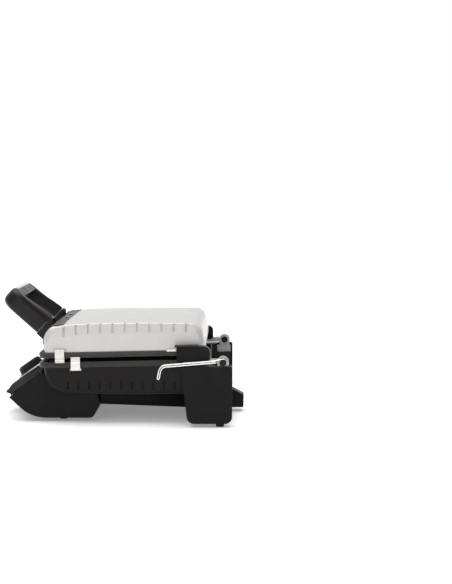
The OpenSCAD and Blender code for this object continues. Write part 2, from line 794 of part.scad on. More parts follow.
module knob_bezel() color([0.85, 0.85, 0.86]) panel_frame() translate([0, -knob_s, knob_base]) difference() {
    cylinder(d1 = knob_d + 10, d2 = knob_d + 7, h = 2);
    translate([0, 0, -cut]) cylinder(d = knob_d + 1.2, h = 4);
}

module temperature_knob() color([0.16, 0.15, 0.15]) panel_frame() translate([0, -knob_s, knob_base + gap])
    difference() {
        union() {
            cylinder(d = knob_d, h = 2.5);
            translate([0, 0, 2.5]) cylinder(d1 = knob_d - 3, d2 = knob_d - 7, h = knob_h - 4);
            translate([0, 0, knob_h - 1.5]) cylinder(d1 = knob_d - 7, d2 = knob_d - 16, h = 1.5);
        }
        for (a = [0:15:345]) if (a != 270) rotate([0, 0, a])
            translate([knob_d / 2 - 1.6, 0, 2.5]) cylinder(d = 2.2, h = knob_h);
        translate([0, 0, -cut]) cylinder(d = 6, h = knob_h - 3);
        pointer_cut(0);
    }

module pointer_cut(inset)
    box([-1.2 + inset, 1.2 - inset], [-knob_d / 2 + 6, -4 - inset], [knob_h - 1 + inset, knob_h + cut]);

module knob_pointer() color([0.9, 0.9, 0.9]) panel_frame() translate([0, -knob_s, knob_base + gap])
    intersection() {
        pointer_cut(0.05);
        cylinder(d = knob_d - 12, h = knob_h + 0.2);
    }

module knob_spindle() color([0.75, 0.75, 0.76]) panel_frame()
    translate([0, -knob_s, -2]) cylinder(d = 6, h = knob_base + gap + knob_h - 4 + 2);

module thermostat() color([0.82, 0.80, 0.74]) panel_frame() translate([0, -knob_s, -13]) difference() {
    union() {
        cylinder(d = 24, h = 19);
        box([-18, 18], [-7, 7], [19, panel_rise + 13 - panel_t - 0.4]);
    }
    translate([0, 0, 10.6]) cylinder(d = 6.15, h = 20);
}

lip_w = 64;

// drip tray with its pull lip
module drip_tray() color([0.17, 0.16, 0.16]) translate([0, pivot_y, 0]) difference() {
    union() {
        across(-84, 84) polygon(rounded([
            [-226, 22, 3], [-226, 37, 0], [-346, 37, 2], [-341, 32, 3], [-321, 22, 12]
        ]));
        intersection() {
            across(-lip_w / 2, lip_w / 2) polygon(rounded([
                [-330, 37, 0], [-front_reach, 36, 1.2], [-front_reach, 32.6, 1.2], [-338, 31.5, 0]
            ], 4));
            translate([0, 0, 30]) linear_extrude(10) polygon(rounded([
                [-lip_w / 2, -320, 0], [-lip_w / 2, -front_reach, 14],
                [lip_w / 2, -front_reach, 14], [lip_w / 2, -320, 0]
            ]));
        }
    }
    across(-81.5, 81.5) polygon([[-228.5, 60], [-228.5, 24.5], [-319.8, 24.5], [-336.5, 33.2], [-338.5, 60]]);
}

module foot(x, y) translate([x, pivot_y + y, 0]) {
    cylinder(d1 = 12, d2 = 14, h = foot_h);
    translate([0, 0, foot_h]) cylinder(d = 4.2, h = 4);
}
module front_feet() color([0.08, 0.08, 0.08]) both_sides() foot(86, -258);
module rear_feet() color([0.08, 0.08, 0.08]) both_sides() foot(slider_x - 2, -5);

boss_w = 30;

// closes the wiring space; a narrow boss at its middle takes the mains lead
module rear_cover() color([0.12, 0.11, 0.11]) translate([0, pivot_y, 0]) difference() {
    union() {
        box([-104, 104], [10.1, 13.5], [pan_floor, 50]);
        across(-boss_w / 2, boss_w / 2) polygon(rounded([
            [10.1, foot_h + 1, 0], [10.1, 37, 0], [16, 37, 2], [rear_reach, 28, 2],
            [rear_reach - 0.5, foot_h + 1, 2]
        ]));
    }
    across(-boss_w / 2 + 2.5, boss_w / 2 - 2.5)
        polygon([[9, 9.5], [9, 33.5], [16, 33.5], [rear_reach - 2.5, 26], [rear_reach - 3, 9.5]]);
    translate([-boss_w / 2 - cut, 22, 19]) rotate([0, 90, 0]) cylinder(d = 10, h = 5);
}

// bush that the mains lead passes through, on the boss's side
module cord_gland() color([0.06, 0.06, 0.06])
    translate([-boss_w / 2, pivot_y + 22, 19]) rotate([0, -90, 0]) difference() {
        union() {
            translate([0, 0, -4]) cylinder(d = 9.9, h = 4);
            cylinder(d = 14, h = 3);
        }
        translate([0, 0, -5]) cylinder(d = 7.2, h = 12);
    }

module terminal_block() color([0.9, 0.88, 0.82]) translate([0, pivot_y, 0]) difference() {
    box([-22, 22], [-20, -6], [pan_floor + 2.5, 36]);
    for (x = [-14, 0, 14]) {
        translate([x, -5, 29]) rotate([90, 0, 0]) cylinder(d = 4, h = 20);
        translate([x, -13, 30]) cylinder(d = 5, h = 10);
    }
}

module wiring_loom() color([0.7, 0.15, 0.1]) translate([0, pivot_y, 0])
    for (x = [-7, 0, 7]) translate([x, -5, 43]) rotate([90, 0, 0]) cylinder(d = 3, h = 280, $fn = 16);

// cut-out that opens the circuit if the base overheats
module thermal_fuse() color([0.8, 0.78, 0.7]) plate_frame() {
    z = low_rim_bottom - sole_h - 1 - 12;
    translate([60, -150, z - 7]) cylinder(d = 16, h = 7);
    translate([60, -150, z - 10]) cylinder(d = 10, h = 3);
}

// ---------- parts ----------

base_pan();
front_housing();
control_panel();
knob_bezel();
thermostat();
tray_runners();
lower_shell();
lower_plate();
lower_element();
lower_reflector();
thermal_fuse();
lower_clip_mounts();
lower_rear_catches();
left_tower();
right_tower();
left_hinge_guide();
right_hinge_guide();
rear_cover();
cord_gland();
terminal_block();
wiring_loom();
front_feet();
rear_feet();
base_screws();
temperature_knob();
knob_pointer();
knob_spindle();
drip_tray();
left_hinge_slider();
right_hinge_slider();
left_pivot_pin();
right_pivot_pin();
lid_shell();
upper_plate();
upper_element();
upper_reflector();
upper_clip_mounts();
upper_rear_catches();
upper_side_catches();
handle_bracket();
handle_grip();
handle_lower_cap();
handle_trim();
power_light();
ready_light();
handle_screws();
left_arm_block();
right_arm_block();
left_hinge_strap();
right_hinge_strap();
upper_left_clip();
upper_right_clip();
lower_left_clip();
lower_right_clip();
left_side_lever();
right_side_lever();
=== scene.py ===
"""Looks of a panini press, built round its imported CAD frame.

Everything is in metres in the frame of the CAD model: +Z is up, the handle and the controls face -Y.
Named values ending in MM are millimetres, as on the drawings of the part.
"""

import json
import math

import bmesh
import bpy
from mathutils import Matrix, Vector


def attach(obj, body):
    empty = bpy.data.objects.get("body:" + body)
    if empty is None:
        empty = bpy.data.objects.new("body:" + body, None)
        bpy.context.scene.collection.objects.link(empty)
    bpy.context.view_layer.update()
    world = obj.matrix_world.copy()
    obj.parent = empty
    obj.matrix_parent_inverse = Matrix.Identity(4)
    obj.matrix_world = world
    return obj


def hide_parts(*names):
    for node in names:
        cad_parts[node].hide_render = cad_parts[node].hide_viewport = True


MM = 0.001
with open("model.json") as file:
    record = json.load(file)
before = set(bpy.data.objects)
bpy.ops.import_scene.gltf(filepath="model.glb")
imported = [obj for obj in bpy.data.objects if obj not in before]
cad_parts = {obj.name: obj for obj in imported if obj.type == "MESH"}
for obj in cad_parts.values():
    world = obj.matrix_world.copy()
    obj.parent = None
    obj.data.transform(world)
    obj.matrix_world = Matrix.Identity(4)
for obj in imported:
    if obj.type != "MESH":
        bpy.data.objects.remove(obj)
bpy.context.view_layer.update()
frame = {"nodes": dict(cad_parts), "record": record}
node_body = {n: body for body, nodes in frame["record"]["behaviour"]["bodies"].items() for n in nodes}

# ---------- the machine's frames and driving sizes, in millimetres ----------

PIVOT_Y_MM = 164
PIVOT_Z_MM = 102
TILT_DEG = 1.2
MID_Z_MM = 5.4
PLATE_W_MM = 300
PLATE_FRONT_MM = -290
PLATE_REAR_MM = -45
RIM_TOP_MM = 2.3
RIM_BOTTOM_MM = -6.8
RIM_T_MM = 7
FLOOR_MM = -2.3
HANDLE_ANGLE_DEG = 43
HANDLE_ROOT_MM = (-289.8, 53.7)      # y and z of the handle's seam among the plates


def shift(x, y, z):
    return Matrix.Translation(Vector((x, y, z)))


def turn(degrees, axis):
    return Matrix.Rotation(math.radians(degrees), 4, axis)


def way(degrees):
    """The direction at that angle in a plane."""
    return Vector((math.cos(math.radians(degrees)), math.sin(math.radians(degrees))))


PIVOT = shift(0, PIVOT_Y_MM, PIVOT_Z_MM)
PLATES = PIVOT @ turn(TILT_DEG, "X")
HANDLE = PLATES @ shift(0, *HANDLE_ROOT_MM) @ turn(-HANDLE_ANGLE_DEG, "X")
TO_METRES = Matrix.Scale(MM, 4)
UPSIDE_DOWN = shift(0, 0, 2 * MID_Z_MM) @ Matrix.Diagonal((1, 1, -1, 1))
LEFT_SIDE = Matrix.Diagonal((-1, 1, 1, 1))


# ---------- materials ----------


class Look:
    """A procedural material: a principled shader, to which methods add mottling, smudges, grain and wear."""

    def __init__(self, name, colour, roughness, metallic=0.0, coat=0.0, specular=0.5):
        self.material = bpy.data.materials.new(name)
        self.material.use_nodes = True
        self.nodes = self.material.node_tree.nodes
        self.links = self.material.node_tree.links
        self.shader = self.nodes["Principled BSDF"]
        self.colour = colour
        self.shader.inputs["Base Color"].default_value = (*colour, 1)
        self.shader.inputs["Roughness"].default_value = roughness
        self.shader.inputs["Metallic"].default_value = metallic
        self.shader.inputs["Coat Weight"].default_value = coat
        self.shader.inputs["Coat Roughness"].default_value = 0.12
        self.shader.inputs["Specular IOR Level"].default_value = specular
        self.coords = self.nodes.new("ShaderNodeTexCoord").outputs["Object"]

    def noise(self, scale, stretch=(1, 1, 1), detail=3):
        """A noise that repeats about scale times a metre, drawn out along the axes where stretch is small."""
        mapping = self.nodes.new("ShaderNodeMapping")
        mapping.inputs["Scale"].default_value = stretch
        noise = self.nodes.new("ShaderNodeTexNoise")
        noise.inputs["Scale"].default_value = scale
        noise.inputs["Detail"].default_value = detail
        self.links.new(self.coords, mapping.inputs["Vector"])
        self.links.new(mapping.outputs["Vector"], noise.inputs["Vector"])
        return noise.outputs["Fac"]

    def spread(self, value, low, high, to_low, to_high):
        """value, from low to high, mapped to the range to_low to to_high."""
        node = self.nodes.new("ShaderNodeMapRange")
        for name, number in zip(("From Min", "From Max", "To Min", "To Max"), (low, high, to_low, to_high)):
            node.inputs[name].default_value = number
        self.links.new(value, node.inputs["Value"])
        return node.outputs["Result"]

    def mix_in(self, factor, colour):
        """Lays another colour over the base colour where factor is high."""
        mix = self.nodes.new("ShaderNodeMix")
        mix.data_type = "RGBA"
        base = self.shader.inputs["Base Color"]
        if base.is_linked:
            self.links.new(base.links[0].from_socket, mix.inputs["A"])
        else:
            mix.inputs["A"].default_value = base.default_value
        mix.inputs["B"].default_value = (*colour, 1)
        self.links.new(factor, mix.inputs["Factor"])
        self.links.new(mix.outputs["Result"], base)
        return self

    def mottle(self, scale, darker, stretch=(1, 1, 1)):
        """Soft changes of colour, down to the base colour times darker."""
        factor = self.spread(self.noise(scale, stretch), 0.35, 0.65, 0, 1)
        return self.mix_in(factor, [c * darker for c in self.colour])

    def smudge(self, scale, low, high, stretch=(1, 1, 1)):
        """Roughness that wanders between low and high."""
        value = self.spread(self.noise(scale, stretch), 0.35, 0.65, low, high)
        self.links.new(value, self.shader.inputs["Roughness"])
        return self

    def grain(self, scale, height_mm, stretch=(1, 1, 1), strength=0.5, detail=2):
        """A bump of that height, laid over the bumps already there."""
        bump = self.nodes.new("ShaderNodeBump")
        bump.inputs["Strength"].default_value = strength
        bump.inputs["Distance"].default_value = height_mm * MM
        self.links.new(self.noise(scale, stretch, detail), bump.inputs["Height"])
        normal = self.shader.inputs["Normal"]
        if normal.is_linked:
            self.links.new(normal.links[0].from_socket, bump.inputs["Normal"])
        self.links.new(bump.outputs["Normal"], normal)
        return self

    def wear(self, colour, low=0.52, high=0.62):
        """Edges rubbed to another colour."""
        edge = self.spread(self.nodes.new("ShaderNodeNewGeometry").outputs["Pointiness"], low, high, 0, 0.6)
        return self.mix_in(edge, colour)

    def speckle(self, scale, share, colour):
        """Small round flecks of another colour over that share of the surface."""
        cells = self.nodes.new("ShaderNodeTexVoronoi")
        cells.inputs["Scale"].default_value = scale
        self.links.new(self.coords, cells.inputs["Vector"])
        return self.mix_in(self.spread(cells.outputs["Distance"], share, share * 0.6, 0, 1), colour)


def satin_silver():
    look = Look("satin_silver", (0.54, 0.53, 0.522), 0.36, metallic=0.35, coat=0.15)
    look.mottle(60, 0.97).smudge(25, 0.3, 0.42)
    return look.grain(900, 0.02, strength=0.35).grain(140, 0.03, strength=0.2)


def black_housing():
    look = Look("black_housing", (0.006, 0.0052, 0.0052), 0.46, specular=0.12)
    return look.mottle(90, 0.8).smudge(40, 0.36, 0.5).grain(2600, 0.03).wear((0.03, 0.028, 0.028))


def matt_black(name):
    look = Look(name, (0.006, 0.0052, 0.005), 0.7, specular=0.06)
    return look.mottle(90, 0.8).smudge(40, 0.62, 0.78).grain(2200, 0.03).wear((0.02, 0.018, 0.018))


def black_metal():
    look = Look("black_metal", (0.008, 0.0068, 0.0065), 0.38, specular=0.14)
    look.mottle(70, 0.82).smudge(30, 0.3, 0.44).grain(1300, 0.02, strength=0.4)
    return look.wear((0.06, 0.058, 0.056))


def handle_black():
    look = Look("handle_black", (0.0095, 0.0078, 0.0075), 0.34, specular=0.22)
    look.mottle(80, 0.85).smudge(30, 0.28, 0.4).grain(2000, 0.02, strength=0.35)
    return look.wear((0.06, 0.056, 0.056))


# The same non-stick coating as the lower plate's, with its base colour about twice as light: painted sheen
# for the grey it reflects at grazing angles.
def nonstick_grey():
    look = Look("nonstick_grey", (0.02, 0.018, 0.017), 0.34, metallic=0.15, specular=0.45)
    look.mottle(50, 0.85).speckle(1300, 0.22, (0.09, 0.087, 0.084)).smudge(35, 0.34, 0.5)
    return look.grain(1500, 0.03).wear((0.14, 0.135, 0.13))


def nonstick_dark():
    look = Look("nonstick_dark", (0.009, 0.008, 0.0075), 0.36, metallic=0.1, specular=0.4)
    look.mottle(50, 0.85).speckle(1300, 0.22, (0.09, 0.087, 0.084)).smudge(35, 0.3, 0.46)
    return look.grain(1500, 0.03).wear((0.14, 0.135, 0.13))


def spring_steel():
    look = Look("spring_steel", (0.68, 0.66, 0.63), 0.25, metallic=0.95)
    look.mottle(120, 0.9).smudge(160, 0.18, 0.34, (1, 12, 1))
    return look.grain(700, 0.01, (1, 10, 1), strength=0.3)


def chrome_wire():
    look = Look("chrome_wire", (0.8, 0.79, 0.78), 0.08, metallic=1.0)
    return look.mottle(150, 0.95).smudge(80, 0.05, 0.14).grain(500, 0.008, strength=0.15)


def zinc_steel():
    look = Look("zinc_steel", (0.46, 0.46, 0.45), 0.38, metallic=0.9)
    return look.mottle(110, 0.85).speckle(420, 0.4, (0.55, 0.55, 0.53)).smudge(90, 0.3, 0.5).grain(800, 0.015)


def silver_trim():
    look = Look("silver_trim", (0.7, 0.69, 0.67), 0.28, metallic=0.6, coat=0.3)
    return look.mottle(90, 0.95).smudge(60, 0.22, 0.34).grain(1800, 0.01, strength=0.3)


def aluminised_sheet():
    look = Look("aluminised_sheet", (0.6, 0.6, 0.6), 0.4, metallic=0.9)
    return look.mottle(60, 0.85).smudge(50, 0.3, 0.5).grain(300, 0.02, (1, 8, 1))


def element_sheath():
    look = Look("element_sheath", (0.1, 0.085, 0.075), 0.5, metallic=0.7)
    return look.mottle(150, 0.6).smudge(90, 0.42, 0.6).grain(1200, 0.03)


def rubber_black():
    look = Look("rubber_black", (0.012, 0.012, 0.012), 0.7, specular=0.3)
    return look.mottle(200, 0.7).smudge(120, 0.62, 0.8).grain(2200, 0.04)


def ceramic():
    look = Look("ceramic", (0.6, 0.56, 0.46), 0.75)
    return look.mottle(160, 0.88).smudge(150, 0.68, 0.85).grain(1600, 0.04)


def wire_jacket():
    look = Look("wire_jacket", (0.3, 0.03, 0.025), 0.65)
    return look.mottle(600, 0.7, (1, 0.2, 1)).smudge(200, 0.58, 0.75).grain(1500, 0.08, (1, 0.3, 1))


def lens(name, colour):
    look = Look(name, colour, 0.12, coat=0.4)
    look.shader.inputs["Transmission Weight"].default_value = 0.25
    return look.mottle(400, 0.8).smudge(200, 0.08, 0.18).grain(900, 0.02, strength=0.3)


LOOKS = {
    "satin_silver": satin_silver(), "black_housing": black_housing(), "black_metal": black_metal(),
    "matt_black": matt_black("matt_black"), "matt_metal": matt_black("matt_metal"),
    "handle_black": handle_black(), "nonstick_grey": nonstick_grey(), "nonstick_dark": nonstick_dark(),
    "spring_steel": spring_steel(), "chrome_wire": chrome_wire(), "zinc_steel": zinc_steel(),
    "silver_trim": silver_trim(), "aluminised_sheet": aluminised_sheet(), "element_sheath": element_sheath(),
    "rubber_black": rubber_black(), "ceramic": ceramic(), "wire_jacket": wire_jacket(),
    "red_lens": lens("red_lens", (0.16, 0.01, 0.008)),
    "green_lens": lens("green_lens", (0.012, 0.085, 0.025)),
}


# ---------- mesh tools ----------


def apply_modifiers(piece):
    """Turns a piece's modifiers into its mesh."""
    evaluated = piece.evaluated_get(bpy.context.evaluated_depsgraph_get())
    mesh = bpy.data.meshes.new_from_object(evaluated)
    piece.modifiers.clear()
    piece.data = mesh
    return piece


def smooth(piece, angle=38):
    """Smooth shading that keeps edges sharper than angle, with normals that leave flat faces flat."""
    piece.data.shade_smooth()
    piece.data.set_sharp_from_angle(angle=math.radians(angle))
    weighted = piece.modifiers.new("flat_faces", "WEIGHTED_NORMAL")
    weighted.keep_sharp = True
    return piece


def round_edges(piece, radius_mm, segments=3, angle=30):
    bevel = piece.modifiers.new("edges", "BEVEL")
    bevel.limit_method = "ANGLE"
    bevel.angle_limit = math.radians(angle)
    bevel.width = radius_mm * MM
    bevel.segments = segments
    bevel.miter_outer = "MITER_ARC"
    bevel.loop_slide = True
    return apply_modifiers(piece)


def new_object(name, mesh):
    piece = bpy.data.objects.new(name, mesh)
    bpy.context.scene.collection.objects.link(piece)
    return piece


def mount_on_frame(piece, slot, *nodes):
    """Gives a finished piece its look, and makes it stand for those CAD nodes on their body."""
    piece.data.materials.clear()
    piece.data.materials.append(LOOKS[slot].material)
    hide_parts(*nodes)
    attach(piece, node_body[nodes[0]])
    return piece


def node_copy(node, name):
    """A new object with a CAD node's shape, with its flat faces joined up."""
    bm = bmesh.new()
    bm.from_mesh(frame["nodes"][node].data)
    bmesh.ops.remove_doubles(bm, verts=bm.verts, dist=0.002 * MM)
    bmesh.ops.dissolve_limit(bm, angle_limit=math.radians(0.6), verts=bm.verts, edges=bm.edges)
    mesh = bpy.data.meshes.new(name)
    bm.to_mesh(mesh)
    bm.free()
    return new_object(name, mesh)


def polished(node, slot, radius_mm):
    """A CAD node's shape with its edges rounded."""
    piece = node_copy(node, node + "_finished")
    round_edges(piece, radius_mm)
    smooth(piece)
    return mount_on_frame(piece, slot, node)


def rounded_line(points, steps=8):
    """A line through (a, b, corner radius) points, with an arc at each corner that has a radius."""
    line = []
    for i, (a, b, radius) in enumerate(points):
        corner = Vector((a, b))
        if radius <= 0:
            line.append(corner)
            continue
        back = (Vector(points[i - 1][:2]) - corner).normalized()
        ahead = (Vector(points[(i + 1) % len(points)][:2]) - corner).normalized()
        half = back.angle(ahead) / 2
        centre = corner + (back + ahead).normalized() * radius / math.sin(half)
        start = corner + back * radius / math.tan(half) - centre
        end = corner + ahead * radius / math.tan(half) - centre
        swing = math.pi - 2 * half
        for k in range(steps + 1):
            t = k / steps
            turned = start * math.sin((1 - t) * swing) + end * math.sin(t * swing)
            line.append(centre + turned / math.sin(swing))
    return line


def along_line(line, share):
    """The point at that share of a line's length."""
    steps = [(b - a).length for a, b in zip(line, line[1:])]
    left = share * sum(steps)
    for a, b, step in zip(line, line[1:], steps):
        if left <= step:
            return a.lerp(b, left / step)
        left -= step
    return line[-1].copy()


def ease(low, high, value):
    """0 below low, 1 above high and a smooth step between them."""
    t = min(1.0, max(0.0, (value - low) / (high - low)))
    return t * t * (3 - 2 * t)


def spaced(first, last, count):
    return [first + (last - first) * k / (count - 1) for k in range(count)]


def mesh_piece(name, place, points, faces):
    """A new object from points in millimetres in one of the machine's frames."""
    mesh = bpy.data.meshes.new(name)
    mesh.from_pydata([tuple(TO_METRES @ place @ Vector(p)) for p in points], [], faces)
    bm = bmesh.new()
    bm.from_mesh(mesh)
    bmesh.ops.remove_doubles(bm, verts=bm.verts, dist=0.01 * MM)
    bmesh.ops.dissolve_degenerate(bm, edges=bm.edges, dist=0.001 * MM)
    bmesh.ops.recalc_face_normals(bm, faces=bm.faces)
    bm.to_mesh(mesh)
    bm.free()
    mesh.update()
    return new_object(name, mesh)


def grid_faces(rows, columns, closed_rows=False, closed_columns=False):
    """Faces of a grid of rows times columns points, in row order."""
    faces = []
    for i in range(rows if closed_rows else rows - 1):
        for k in range(columns if closed_columns else columns - 1):
            i2, k2 = (i + 1) % rows, (k + 1) % columns
            faces.append((i * columns + k, i * columns + k2, i2 * columns + k2, i2 * columns + k))
    return faces


def swept(name, place, stations, capped=True):
    """A tube through stations, each the same number of points round one section."""
    count = len(stations[0])
    faces = grid_faces(len(stations), count, closed_rows=not capped, closed_columns=True)
    if capped:
        last = (len(stations) - 1) * count
        faces += [tuple(range(count)), tuple(range(last + count - 1, last - 1, -1))]
    return mesh_piece(name, place, [p for station in stations for p in station], faces)


def joined(first, second):
    """Two objects' meshes as one object."""
    bm = bmesh.new()
    bm.from_mesh(first.data)
    bm.from_mesh(second.data)
    bm.to_mesh(first.data)
    bm.free()
    bpy.data.objects.remove(second)
    return first


# ---------- lid and lower shell ----------

SHELL_HALF_MM = 147
SHELL_T_MM = 2.2
LID_BOTTOM_MM = 17.6
KNEE_MM = 46             # where the lid's side begins to lean in
CREASE_MM = 61.7         # where it meets the crown
LID_PLAN_MM = {"front": -282, "rear": -28, "corner": 10}
TUB_PLAN_MM = {"front": -283, "rear": -22, "corner": 8}
SLOT_COUNT = 11
END_REACH_MM = 82        # how far the rounding of a shell's ends is felt along its sides


def shell_columns(side_ys, front, rear, corner):
    """Stations round a shell's plan: (x, y, share of facing forward, share of facing back)."""
    half = [(x, front, 1, 0) for x in spaced(0, SHELL_HALF_MM - corner, 14)]
    for a in spaced(-90, 0, 9)[1:]:
        c, s = way(a)
        half.append((SHELL_HALF_MM - corner + corner * c, front + corner + corner * s, s * s, 0))
    half += [(SHELL_HALF_MM, y, 0, 0) for y in side_ys if front + corner + 0.5 < y < rear - corner - 0.5]
    for a in spaced(0, 90, 9)[:-1]:
        c, s = way(a)
        half.append((SHELL_HALF_MM - corner + corner * c, rear - corner + corner * s, 0, s * s))
    half += [(x, rear, 0, 1) for x in spaced(SHELL_HALF_MM - corner, 0, 14)]
    return half + [(-x, y, f, r) for x, y, f, r in half[-2:0:-1]]


def slot_middle(slot, i):
    return slot["start"] + i * slot["pitch"]


def nearest_slot(slot, y):
    """The number of the slot nearest to y."""
    return min(SLOT_COUNT - 1, max(0, round((y - slot["start"]) / slot["pitch"])))


def side_stations(slot):
    """Stations along a side wall, close together at each slot's edges and all along the first and last slots,
    where the rounding of the shell's ends moves the wall off its stations."""
    edge = slot["fine_from"]
    edges = [-edge - 0.6, -edge - 0.2, -edge + 0.1, -edge + 0.4, 0]
    edges += [-e for e in edges[-2::-1]]
    slots = [slot_middle(slot, i) + e for i in range(SLOT_COUNT) for e in edges]
    first, last = slot_middle(slot, 0) - 10, slot_middle(slot, SLOT_COUNT - 1)
    ends = spaced(first, first + 40, 90) + spaced(last - 8, last + 8, 36)
    return sorted(slots + spaced(-282, -24, 60) + ends)


def in_slot(y, z, centre, top, height, width):
    """1 inside an upright slot with round ends, 0 outside it."""
    r = width / 2
    nearest = min(top - r, max(top - height + r, z))
    return 1 - ease(r - 0.45, r + 0.15, math.hypot(y - centre, z - nearest))


def shell(name, place, columns, profiles, edge_at, ridge_at, slots, rows=60, rings=14):
    """A shell lofted from its open rim up its walls and over its crown.
    profiles are the front, side and rear walls as (inset, height) lines, edge_at and ridge_at the heights of
    the crown's edge and middle along the shell, and slots the depth of the slots at a point of the side."""
    rim, side_end = profiles[1][0][1], profiles[1][-1][1]
    front, rear = min(c[1] for c in columns), max(c[1] for c in columns)
    stations = []
    for x, y, forward, backward in columns:
        at_front = ease(0, 1, (front + END_REACH_MM - y) / END_REACH_MM) ** 1.5
        at_rear = ease(0, 1, (y - rear + END_REACH_MM) / END_REACH_MM) ** 1.5
        station = []
        for j in range(rows + 1):
            f, s, r = (along_line(line, j / rows) for line in profiles)
            px = x * (1 - s[0] / SHELL_HALF_MM)
            py = y + f[0] * at_front - r[0] * at_rear
            side_z = rim + (s[1] - rim) * (edge_at(py) - rim) / (side_end - rim)
            pz = side_z + (f[1] - side_z) * forward + (r[1] - side_z) * backward
            if forward + backward < 0.01:
                px -= math.copysign(slots(py, pz), px)
            station.append((px, py, pz))
        ex, ey, ez = station[-1]
        spine_y = min(rear - 50, max(front + 55, ey))
        for k in range(1, rings + 1):
            t = k / rings
            rise = (ridge_at(spine_y) - ez) * (1 - (1 - t) ** 2)
            station.append((ex * (1 - t), ey + (spine_y - ey) * t, ez + rise))
        stations.append(station)
    faces = grid_faces(len(stations), rows + rings + 1, closed_rows=True)
    return mesh_piece(name, place, [p for station in stations for p in station], faces)


def thicken(piece, thickness_mm, outward):
    """Gives a surface a thickness, outward (1) or inward (-1)."""
    wall = piece.modifiers.new("wall", "SOLIDIFY")
    wall.thickness = thickness_mm * MM
    wall.offset = outward
    return apply_modifiers(piece)


# fine_from is how far from a slot's middle the mesh follows its edge most closely
LID_SLOT_MM = {"start": -249, "pitch": 19.2, "width": 2.8, "height": 15, "depth": 1.9, "fine_from": 1.3}
TUB_SLOT_MM = {"start": -245, "pitch": 16.8, "width": 2.4, "height": 13, "depth": 1.9, "fine_from": 1.2}


def lid_edge(y):
    """Height of the crease along the lid, highest a little ahead of the middle."""
    bow = (1.6 if y < -185 else 0.55) * ((y + 185) / 60) ** 2
    return CREASE_MM + 0.4 - bow - 4 * (max(0, -240 - y) / 30) ** 2


def lid_surface(name):
    """The lid's outer surface, without its thickness."""
    def ridge(y):
        return lid_edge(y) + 5.2 * ease(-265, -175, y) * (1 - 0.6 * ease(-100, -50, y))

    def groove(y, z):
        slot = LID_SLOT_MM
        centre = slot_middle(slot, nearest_slot(slot, y))
        off = max(0, abs(centre + 150) - 50) / 50
        top = CREASE_MM - 0.4 - 4.6 * off * off * (1 if centre < -150 else 0.35)
        return slot["depth"] * in_slot(y, z, centre, top, slot["height"], slot["width"])

    z0 = LID_BOTTOM_MM
    profiles = [
        rounded_line([(0, z0, 0), (0, z0 + 26, 26), (12, CREASE_MM - 3.4, 13), (24, CREASE_MM - 2.24, 0)]),
        rounded_line([(0, z0, 0), (0.2, KNEE_MM, 16), (4.6, CREASE_MM, 3), (13.5, CREASE_MM + 0.65, 0)]),
        rounded_line([(0, z0, 0), (0, z0 + 10, 8), (6, CREASE_MM - 4, 20), (24, CREASE_MM - 1, 0)]),
    ]
    columns = shell_columns(side_stations(LID_SLOT_MM), **LID_PLAN_MM)
    return shell(name, PLATES, columns, profiles, lid_edge, ridge, groove)


def lid_shell():
    piece = thicken(lid_surface("lid_shell_finished"), SHELL_T_MM, -1)
    mount_on_frame(smooth(piece, 60), "satin_silver", "lid_shell")


BRACKET_HALF_MM = 136
BRACKET_REAR_MM = -250
BRACKET_LOW_MM = 36
BRACKET_T_MM = 1.3
ROOT_MM = -272           # the bracket's own shape is kept ahead of this line


def cut_away(piece, place, point, outward):
    """Removes a piece's mesh on the outward side of a plane given in one of the machine's frames."""
    bm = bmesh.new()
    bm.from_mesh(piece.data)
    bmesh.ops.bisect_plane(
        bm, geom=bm.verts[:] + bm.edges[:] + bm.faces[:], plane_co=TO_METRES @ place @ Vector(point),
        plane_no=place.to_3x3() @ Vector(outward), clear_outer=True
    )
    bm.to_mesh(piece.data)
    bm.free()


def handle_bracket():
    """The node's own root for the handle, with a thin skin over the lid's front."""
    root = node_copy("handle_bracket", "bracket_root")
    cut_away(root, PLATES, (0, ROOT_MM, 0), (0, 1, 0))
    round_edges(root, 0.5, 2)
    skin = lid_surface("handle_bracket_finished")
    cut_away(skin, PLATES, (0, BRACKET_REAR_MM, 0), (0, 1, 0))
    cut_away(skin, PLATES, (0, 0, BRACKET_LOW_MM), (0, 0, -1))
    for side in (-1, 1):
        cut_away(skin, PLATES, (side * BRACKET_HALF_MM, 0, 0), (side, 0, 0))
    thicken(skin, BRACKET_T_MM, 1)
    mount_on_frame(smooth(joined(skin, root), 50), "handle_black", "handle_bracket")


def tub_floor(y):
    """Height of the lower shell's underside, which rises in a curve toward the front."""
    return -52.8 + 5 * (max(0, -y - 100) / 150) ** 2


def lower_shell():
    def groove(y, z):
        slot = TUB_SLOT_MM
        i = nearest_slot(slot, y)
        inside = in_slot(y, z, slot_middle(slot, i), -29 - 0.35 * i, slot["height"], slot["width"])
        return slot["depth"] * inside

    z0 = RIM_BOTTOM_MM
    profiles = [
        rounded_line([(1, z0, 0), (6, -45, 28), (40, -46.3, 0)]),
        rounded_line([(0, z0, 0), (0, z0 - 10, 6), (4, -54, 7), (16, -54, 0)]),
        rounded_line([(0, z0, 0), (2, -54.6, 10), (24, -53.7, 0)]),
    ]
    columns = shell_columns(side_stations(TUB_SLOT_MM), **TUB_PLAN_MM)
    piece = shell("lower_shell_finished", PLATES, columns, profiles, tub_floor, tub_floor, groove)
    thicken(piece, SHELL_T_MM, -1)
    mount_on_frame(smooth(piece, 60), "black_metal", "lower_shell")


# ---------- grill plates ----------

RIB_COUNT = 27
RIB_PITCH_MM = (PLATE_W_MM - 2 * RIM_T_MM - 12) / (RIB_COUNT - 1)
RIB_H_MM = 3.4
RIB_FRONT_MM = PLATE_FRONT_MM + 34
RIB_REAR_MM = PLATE_REAR_MM - RIM_T_MM - 4
TROUGH_MM = 2.4


